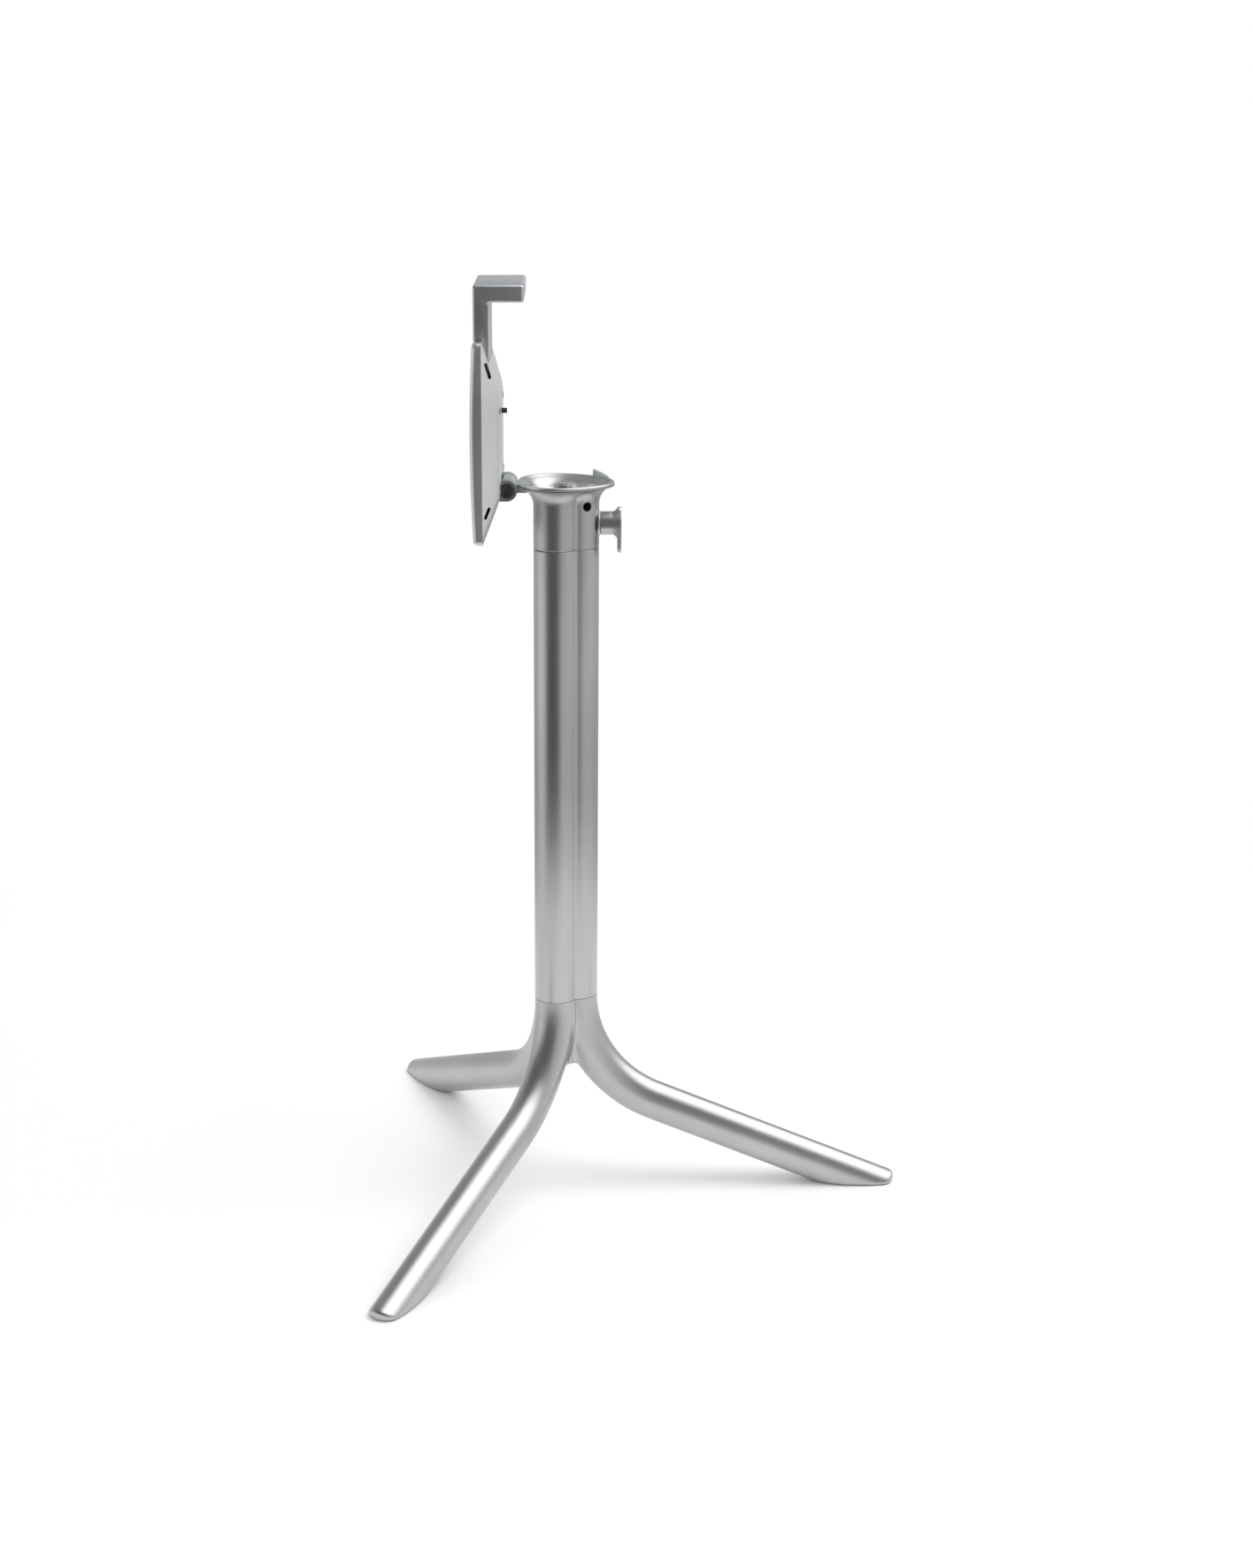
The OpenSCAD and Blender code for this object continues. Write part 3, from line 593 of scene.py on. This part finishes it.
def collarProfile(s):
    # Radius, height and blend, from the bottom up the outside, over the lip and into the cup
    sleeve, flare, low = s["sleeveR"], s["flareR"], s["lowZ"]
    plain, rim = s["sleeveBlend"], s["rimBlend"]
    flareX = sleeve + flare
    flareZ = s["topZ"] - 2 * s["lipR"] - sqrt(flare ** 2 - (flareX - s["rimR"]) ** 2)
    lipX, lipZ = s["rimR"] - s["lipR"], s["topZ"] - s["lipR"]
    points = [(sleeve - inset, low + up, plain) for inset, up in s["lowEdge"]]
    edge = s["lowEdgeTop"]
    points += [(sleeve, low + edge + (flareZ - low - edge) * i / 12, plain) for i in range(13)]
    for i in range(1, 17):
        a = radians(s["flareTurn"] * i / 16)
        points.append((flareX - flare * cos(a), flareZ + flare * sin(a), plain + (rim - plain) * i / 16))
    for a in range(*s["lipTurns"]):
        points.append((lipX + s["lipR"] * cos(radians(a)), lipZ + s["lipR"] * sin(radians(a)), rim))
    bowl = flare + s["bowlWall"]
    start = s["topZ"] - s["bowlDown"]
    for i in range(13):
        z = start + (s["floorZ"] + s["bowlUp"] - start) * i / 12
        points.append((flareX - sqrt(bowl ** 2 - (z - flareZ) ** 2), z, rim))
    inner = points[-1][0]
    return points + [(inner - inset, s["floorZ"] + up, rim) for inset, up in s["floorEdge"]]


def makeCollar(s):
    turns = [2 * pi * k / s["corners"] for k in range(s["corners"])]
    bore, plain = s["boreR"], s["sleeveBlend"]
    rings = []
    # from the bore's top down to its slightly widened mouth, then round the profile
    for radius, z in ((bore, s["boreTopZ"]), (bore, s["lowZ"] + 0.0004), (bore + 0.0004, s["lowZ"])):
        rings.append([Vector((radius * cos(t), radius * sin(t), z)) for t in turns])
    for radius, z, blend in collarProfile(s):
        extra = s["hingeBlend"] * (plain - blend) / (plain - s["rimBlend"])
        reach = [lobed(s, radius, t, blend + extra * max(0.0, -cos(t)) ** 6) for t in turns]
        rings.append([Vector((d * cos(t), d * sin(t), z)) for d, t in zip(reach, turns)])
    collar = newObject("collarCasting", meshFrom("collarCasting", loft(rings)))
    turn = Matrix.Rotation(radians(s["cableAngle"]), 3, "Z")
    start = Vector((s["lobeOut"], 0, s["cableZ"]))
    cut(collar, rod(s["cableR"], start, start + turn @ Vector((0.05, 0, 0))))
    for radius, x, segments in ((s["screwR"], s["screwX"], 40), (s["seatR"], s["seatX"], 64)):
        cut(collar, rod(radius, (x, 0, s["leverZ"]), (s["cutX"], 0, s["leverZ"]), segments))
    cut(collar, block(*s["armPocket"]))
    for y in (-s["armScrewY"], s["armScrewY"]):
        ends = [(x, y, s["armScrewZ"]) for x in s["armScrewX"]]
        cut(collar, rod(s["armScrewR"], *ends, 32))
    return finished(collar, "swivel", "cast_silver", "collar", "cup_rim", angle=38)


makeCollar(collarShape)
print("collar ready")


# Clamp lever

leverShape = {
    "axisZ": 0.7656,
    "hubR": 0.0125,
    "hubX": 0.03965,
    "bladeX": 0.05815,
    "thick": 0.0042,
    "filletR": 0.0065,
    "tipR": 0.007,
    "tipDown": 0.025,
    "topUp": 0.0105,
    "overlap": 0.001,
    "filletSteps": 10,
    "corners": 64,
    "voxel": 0.0007,
    "rounding": 8,
}


def drop(s, down, low, thick):
    # One end of the blade: the hub's circle and the tip's circle with the straight sides between them
    lean = asin((s["hubR"] - s["tipR"]) / abs(down))
    sign = 1 if down > 0 else -1
    outline = []
    for radius, centre, first, turn in ((s["hubR"], 0, -lean, pi + 2 * lean),
                                        (s["tipR"], -abs(down), pi + lean, pi - 2 * lean)):
        for a in range(0, 181, 6):
            t = first + turn * a / 180
            outline.append((low, radius * cos(t), s["axisZ"] + sign * (centre + radius * sin(t))))
    return extruded(outline, (thick, 0, 0))


def makeLever(s):
    over, count = s["overlap"], s["filletSteps"]
    shape = rod(s["hubR"], (s["hubX"], 0, s["axisZ"]), (s["bladeX"] + 2 * over, 0, s["axisZ"]), s["corners"])
    around = [2 * pi * k / s["corners"] for k in range(s["corners"])]
    flareX = s["bladeX"] - s["filletR"]
    for down in (s["tipDown"], -s["topUp"]):
        # the blade's end, and the fillet between it and the hub
        rings = []
        for i in range(count + 1):
            x = flareX + (s["filletR"] + over) * i / count
            rise = s["filletR"] - sqrt(max(0.0, s["filletR"] ** 2 - (x - flareX) ** 2))
            reach = s["hubR"] + rise - 0.0002
            rings.append([Vector((x, reach * cos(a), s["axisZ"] + reach * sin(a))) for a in around])
        fillet = newObject("fillet", meshFrom("fillet", loft(rings)))
        cut(fillet, drop(s, down, flareX, s["filletR"] + 2 * over), "INTERSECT")
        mesh = meshFrom("bladeEnd", drop(s, down, s["bladeX"], s["thick"]))
        shape.from_mesh(mesh)
        shape.from_mesh(fillet.data)
        bpy.data.meshes.remove(mesh)
        bpy.data.objects.remove(fillet)
    lever = grown(newObject("clampLever", meshFrom("clampLever", shape)), s["voxel"])
    eased(lever, s["rounding"])
    settled(lever)
    return finished(lever, "lever", "cast_silver", "lever_hub", "lever_blade", angle=80)


makeLever(leverShape)
print("lever ready")


# Head

headShape = {
    "frontX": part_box("tablet_plate")[0].x + 0.003,
    "crown": 0.003,
    "backX": -0.0825,
    "shellX": -0.0645,
    "lowZ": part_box("tablet_plate")[0].z,
    "topZ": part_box("tablet_plate")[1].z,
    "half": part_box("tablet_plate")[1].y,
    "innerX": -0.088,
    "flatLowZ": 0.803,
    "flatTopZ": 0.905,
    "draft": 0.014,
    "wall": 0.0025,
    "cornerR": 0.006,
    "frontR": 0.0052,
    "backR": 0.007,
    "midZ": 0.8605,
    "rimWall": 0.004,       # round the plate's hollow
    "tabletHoles": (0.0375, 0.05),      # half of each hole square's side
    "tabletHoleR": 0.00225,
    "handleHoleR": 0.0046,
    "handleHoleY": 0.045,
    "handleHoleZ": 0.934,
    "hingeWindow": (0.0325, 0.7915, 0.8175),
    "handleGap": (0.0713, 0.924, 0.97, -0.0754),
    "slotR": 0.0016,
    "sideSlots": ((0.0065, 0.9355, 0.017, 16), (0.005, 0.791, 0.013, -22)),     # back, up, length and lean
    "screwHoles": [(y, z) for y in (-0.07, 0.07) for z in (0.815, 0.893)],
    "screwHoleR": 0.0021,
    "bumperHoleR": 0.0018,
    "bumperZ": 0.885,
}


def crosswise(e):
    # True for an edge that doesn't run along Y
    return abs(e.verts[0].co.y - e.verts[1].co.y) < 1e-6


def makePlate(s):
    # The crowned front is drawn as straight steps from bottom to top
    steps, half, tall = 24, s["half"], (s["topZ"] - s["lowZ"]) / 2
    front = []
    for i in range(steps + 1):
        t = 2 * i / steps - 1
        front.append((s["frontX"] - s["crown"] * (1 - t * t), s["midZ"] + t * tall))
    shape = prism(front + [(s["backX"], s["topZ"]), (s["backX"], s["lowZ"])], -half, half)
    corners = [e for e in shape.edges if crosswise(e) and abs(e.verts[0].co.z - e.verts[1].co.z) < 0.001
               and all(abs(v.co.z - s["midZ"]) > tall - 0.0005 for v in e.verts)]
    bevelled(shape, corners, s["cornerR"], 6)
    rim = [e for e in shape.edges if e.calc_face_angle(0) > radians(40)
           and all(v.co.x < s["backX"] - 0.002 for v in e.verts)]
    bevelled(shape, rim, s["frontR"], 6)
    plate = newObject("frontPlate", meshFrom("frontPlate", shape))
    wall = s["rimWall"]
    cut(plate, block((s["innerX"], -half + wall, s["lowZ"] + wall),
                     (s["backX"] + 0.01, half - wall, s["topZ"] - wall)))
    for spacing in s["tabletHoles"]:
        for y in (-spacing, spacing):
            for z in (s["midZ"] - spacing, s["midZ"] + spacing):
                cut(plate, rod(s["tabletHoleR"], (-0.1, y, z), (s["backX"], y, z), 32))
    for y in (-s["handleHoleY"], s["handleHoleY"]):
        ends = [(x, y, s["handleHoleZ"]) for x in (-0.1, s["frontX"] + 0.0015)]
        cut(plate, rod(s["handleHoleR"], *ends, 40))
    return finished(plate, "head", "sheet_silver", "tablet_plate", angle=38, paint="plateSilver")


def sideSlot(s, x, z, length, lean):
    # A round-ended slot right through both side walls; a positive lean tips its top towards the plate
    turn, radius = radians(lean), s["slotR"]
    outline = []
    for centre, first in ((length / 2 - radius, 0), (radius - length / 2, 180)):
        for a in range(first, first + 181, 15):
            u, v = radius * cos(radians(a)), centre + radius * sin(radians(a))
            outline.append((x + u * cos(turn) - v * sin(turn), z + u * sin(turn) + v * cos(turn)))
    return prism(outline, -0.2, 0.2)


def makeHousing(s):
    # A box with its back drawn in, open towards the plate
    back, shell = s["backX"], s["shellX"]
    shape = block((back, -s["half"], s["lowZ"]), (shell, s["half"], s["topZ"]))
    for v in shape.verts:
        if v.co.x > shell - 1e-5:
            v.co.y -= s["draft"] if v.co.y > 0 else -s["draft"]
            v.co.z = s["flatTopZ"] if v.co.z > s["midZ"] else s["flatLowZ"]
    front = [f for f in shape.faces if all(v.co.x < back + 1e-5 for v in f.verts)]
    bmesh.ops.delete(shape, geom=front, context="FACES_ONLY")
    bevelled(shape, [e for e in shape.edges if not e.is_boundary], s["backR"], 6)
    housing = newObject("rearHousing", meshFrom("rearHousing", shape))
    skin = housing.modifiers.new("skin", "SOLIDIFY")
    skin.thickness, skin.offset = s["wall"], -1
    settled(housing)
    half, low, high = s["hingeWindow"]
    cut(housing, block((back - 0.001, -half, low), (shell + 0.01, half, high)))
    half, low, high, x = s["handleGap"]
    cut(housing, block((back - 0.001, -half, low), (x, half, high)))
    for inset, z, length, lean in s["sideSlots"]:
        cut(housing, sideSlot(s, back + inset, z, length, lean))
    for y, z in s["screwHoles"]:
        cut(housing, rod(s["screwHoleR"], (back, y, z), (-0.05, y, z), 24))
    cut(housing, rod(s["bumperHoleR"], (back, 0, s["bumperZ"]), (-0.05, 0, s["bumperZ"]), 24))
    return finished(housing, "head", "sheet_silver", "rear_housing", angle=38)


handleShape = {
    "frontX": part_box("top_handle")[0].x,
    "backX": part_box("top_handle")[1].x,
    "topZ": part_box("top_handle")[1].z,
    "lowZ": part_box("top_handle")[0].z,
    "half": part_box("top_handle")[1].y,
    "armLowZ": 1.002,
    "legBackX": -0.0757,
    "tongueX": -0.0822,
    "plateTopZ": 0.9643,
    "roundR": 0.0028,
    "bendR": 0.003,
}


def makeHandle(s):
    outline = [(s["frontX"], s["plateTopZ"]), (s["frontX"], s["topZ"]), (s["backX"], s["topZ"]),
               (s["backX"], s["armLowZ"]), (s["legBackX"], s["armLowZ"]), (s["legBackX"], s["lowZ"]),
               (s["tongueX"], s["lowZ"]), (s["tongueX"], s["plateTopZ"])]
    shape = prism(outline, -s["half"], s["half"])
    along = [e for e in shape.edges if not crosswise(e) and e.verts[0].co.z > s["armLowZ"] - 1e-5]
    bevelled(shape, along, s["bendR"], 5)
    ends = [e for e in shape.edges if crosswise(e) and e.calc_face_angle(0) > radians(60)
            and min(v.co.z for v in e.verts) > s["plateTopZ"] - 1e-5]
    bevelled(shape, ends, s["roundR"], 5)
    handle = newObject("handleBar", meshFrom("handleBar", shape))
    return finished(handle, "head", "dark_cast", "top_handle", angle=38)


makePlate(headShape)
makeHousing(headShape)
makeHandle(handleShape)
print("head ready")


# Small hard pieces

smallRounding = {
    "stop_lug": 0.0007, "lever_seat": 0.0006, "hinge_arm": 0.0007, "hinge_bracket": 0.0007,
    "hinge_bolt": 0.0005, "hinge_nut": 0.0005, "tie_nut": 0.0006, "tie_washer": 0.0004,
    "base_nut": 0.0006, "base_washer": 0.0004, "clamp_plate": 0.0006, "leg_screws": 0.0003,
    "arm_screws": 0.0003, "bracket_screws": 0.0004, "housing_screws": 0.0002, "handle_screws": 0.0003,
    "foot_pads": 0.0006, "rest_bumper": 0.0006, "column_tube": 0.0004,
}
ownFinish = {"hinge_bolt": "darkSteel", "hinge_bracket": "hingeCast"}
flatFrom = {"housing_screws": headShape["shellX"]}
for name, width in smallRounding.items():
    softened(softening, name, width, ownFinish.get(name), flatFrom.get(name))
print("small pieces ready")


# Studio

studio = {
    "floorR": 6.0,
    "floorClear": 1.0,      # the floor is solid out to here and fades out by floorFade
    "floorFade": 1.8,
    "mirrorClear": 0.45,    # the same for the floor that the metal mirrors
    "mirrorFade": 1.25,
    "floorShade": 0.92,
    "dome": 0.92,           # light on matt surfaces from all round
    "keyPower": 26.0,
    "keyPlace": (1.1, -0.2, 2.4),
    "keyAim": (0.0, 0.0, 0.1),
    "keySize": 1.5,
    "backdrop": 1.02,
}

# What the metal mirrors: a dark room in front, soft boxes left and right, a grey wall behind and
# a panel overhead. Three numbers say where a band starts, where it is full, and its level.
room = {
    "dark": 0.11,
    "left": (-0.58, -1.02, 1.0),
    "right": (0.06, 0.60, 0.68),
    "behind": (-0.1, 0.5, 0.68),
    "high": (0.05, 0.48, 0.16),
    "highBehind": 0.24,
    "low": (0.0, -0.3, 0.2),
    "panelWay": (0.55, 0.05, 0.83),
    "panel": (0.68, 0.95, 2.4),
    "tint": (0.975, 0.99, 1.0, 1),
}


def makeFloor(s):
    sheet = bmesh.new()
    bmesh.ops.create_circle(sheet, cap_ends=True, cap_tris=False, segments=96, radius=s["floorR"])
    floor = newObject("studioFloor", meshFrom("studioFloor", sheet))
    material = bpy.data.materials.new("paleFloor")
    recipe = Recipe(material)
    place = recipe.add("ShaderNodeTexCoord", out=3)
    reach = recipe.add("ShaderNodeVectorMath", {"operation": "LENGTH"}, {0: place}, out=1)
    # the metal sees a smaller floor than the camera does
    rays = recipe.add("ShaderNodeLightPath").socket.node
    isGlossy = Wire(recipe, rays.outputs["Is Glossy Ray"])
    shade = s["floorShade"]
    matt = recipe.add("ShaderNodeBsdfDiffuse", None, {"Color": (shade, shade, shade, 1)})
    clear = recipe.add("ShaderNodeBsdfTransparent")
    near = ramped(recipe, reach, s["mirrorClear"], s["mirrorFade"])
    far = ramped(recipe, reach, s["floorClear"], s["floorFade"])
    fade = near * isGlossy + far * (1 - isGlossy)
    mix = recipe.add("ShaderNodeMixShader", None, {0: fade, 1: matt, 2: clear})
    recipe.add("ShaderNodeOutputMaterial", None, {"Surface": mix})
    floor.data.materials.append(material)


def makeWorld(s, room):
    world = bpy.data.worlds.new("studioWorld")
    bpy.context.scene.world = world
    recipe = Recipe(world)
    direction = recipe.add("ShaderNodeTexCoord", out=0)
    parts = recipe.add("ShaderNodeSeparateXYZ", None, {0: direction}).socket.node
    x, y, z = (Wire(recipe, parts.outputs[i]) for i in range(3))

    def band(value, name):
        start, full, level = room[name]
        return ramped(recipe, value, start, full), level

    left, leftLevel = band(x, "left")
    right, rightLevel = band(x, "right")
    behind, behindLevel = band(y, "behind")
    high, highLevel = band(z, "high")
    low, lowShare = band(z, "low")
    sides = room["dark"] + leftLevel * left + rightLevel * right
    around = sides * (1 - behind) + behindLevel * behind
    around = around * (1 - high) + (highLevel + room["highBehind"] * behind) * high
    around = around * (1 - lowShare * low)
    toPanel = recipe.add("ShaderNodeVectorMath", {"operation": "DOT_PRODUCT"},
                         {0: direction, 1: room["panelWay"]}, out=1)
    panel, panelLevel = band(toPanel, "panel")

    def background(colour, strength):
        return recipe.add("ShaderNodeBackground", None, {"Color": colour, "Strength": strength})

    glossy = background(room["tint"], around + panelLevel * panel)
    soft = background((1, 1, 1, 1), s["dome"])
    plain = background((1, 1, 1, 1), s["backdrop"])
    rays = recipe.add("ShaderNodeLightPath").socket.node
    isCamera, isGlossy = (Wire(recipe, rays.outputs[name]) for name in ("Is Camera Ray", "Is Glossy Ray"))
    lit = recipe.add("ShaderNodeMixShader", None, {0: isGlossy, 1: soft, 2: glossy})
    seen = recipe.add("ShaderNodeMixShader", None, {0: isCamera, 1: lit, 2: plain})
    recipe.add("ShaderNodeOutputWorld", None, {"Surface": seen})


def makeKey(s):
    data = bpy.data.lights.new("keyLight", "AREA")
    data.energy = s["keyPower"]
    data.size = s["keySize"]
    key = newObject("keyLight", data)
    key.location = s["keyPlace"]
    aim = Vector(s["keyAim"]) - key.location
    key.rotation_euler = aim.to_track_quat("-Z", "Y").to_euler()
    key.visible_glossy = False


makeFloor(studio)
makeWorld(studio, room)
makeKey(studio)
bpy.context.scene.view_settings.view_transform = "Standard"
print("studio ready")
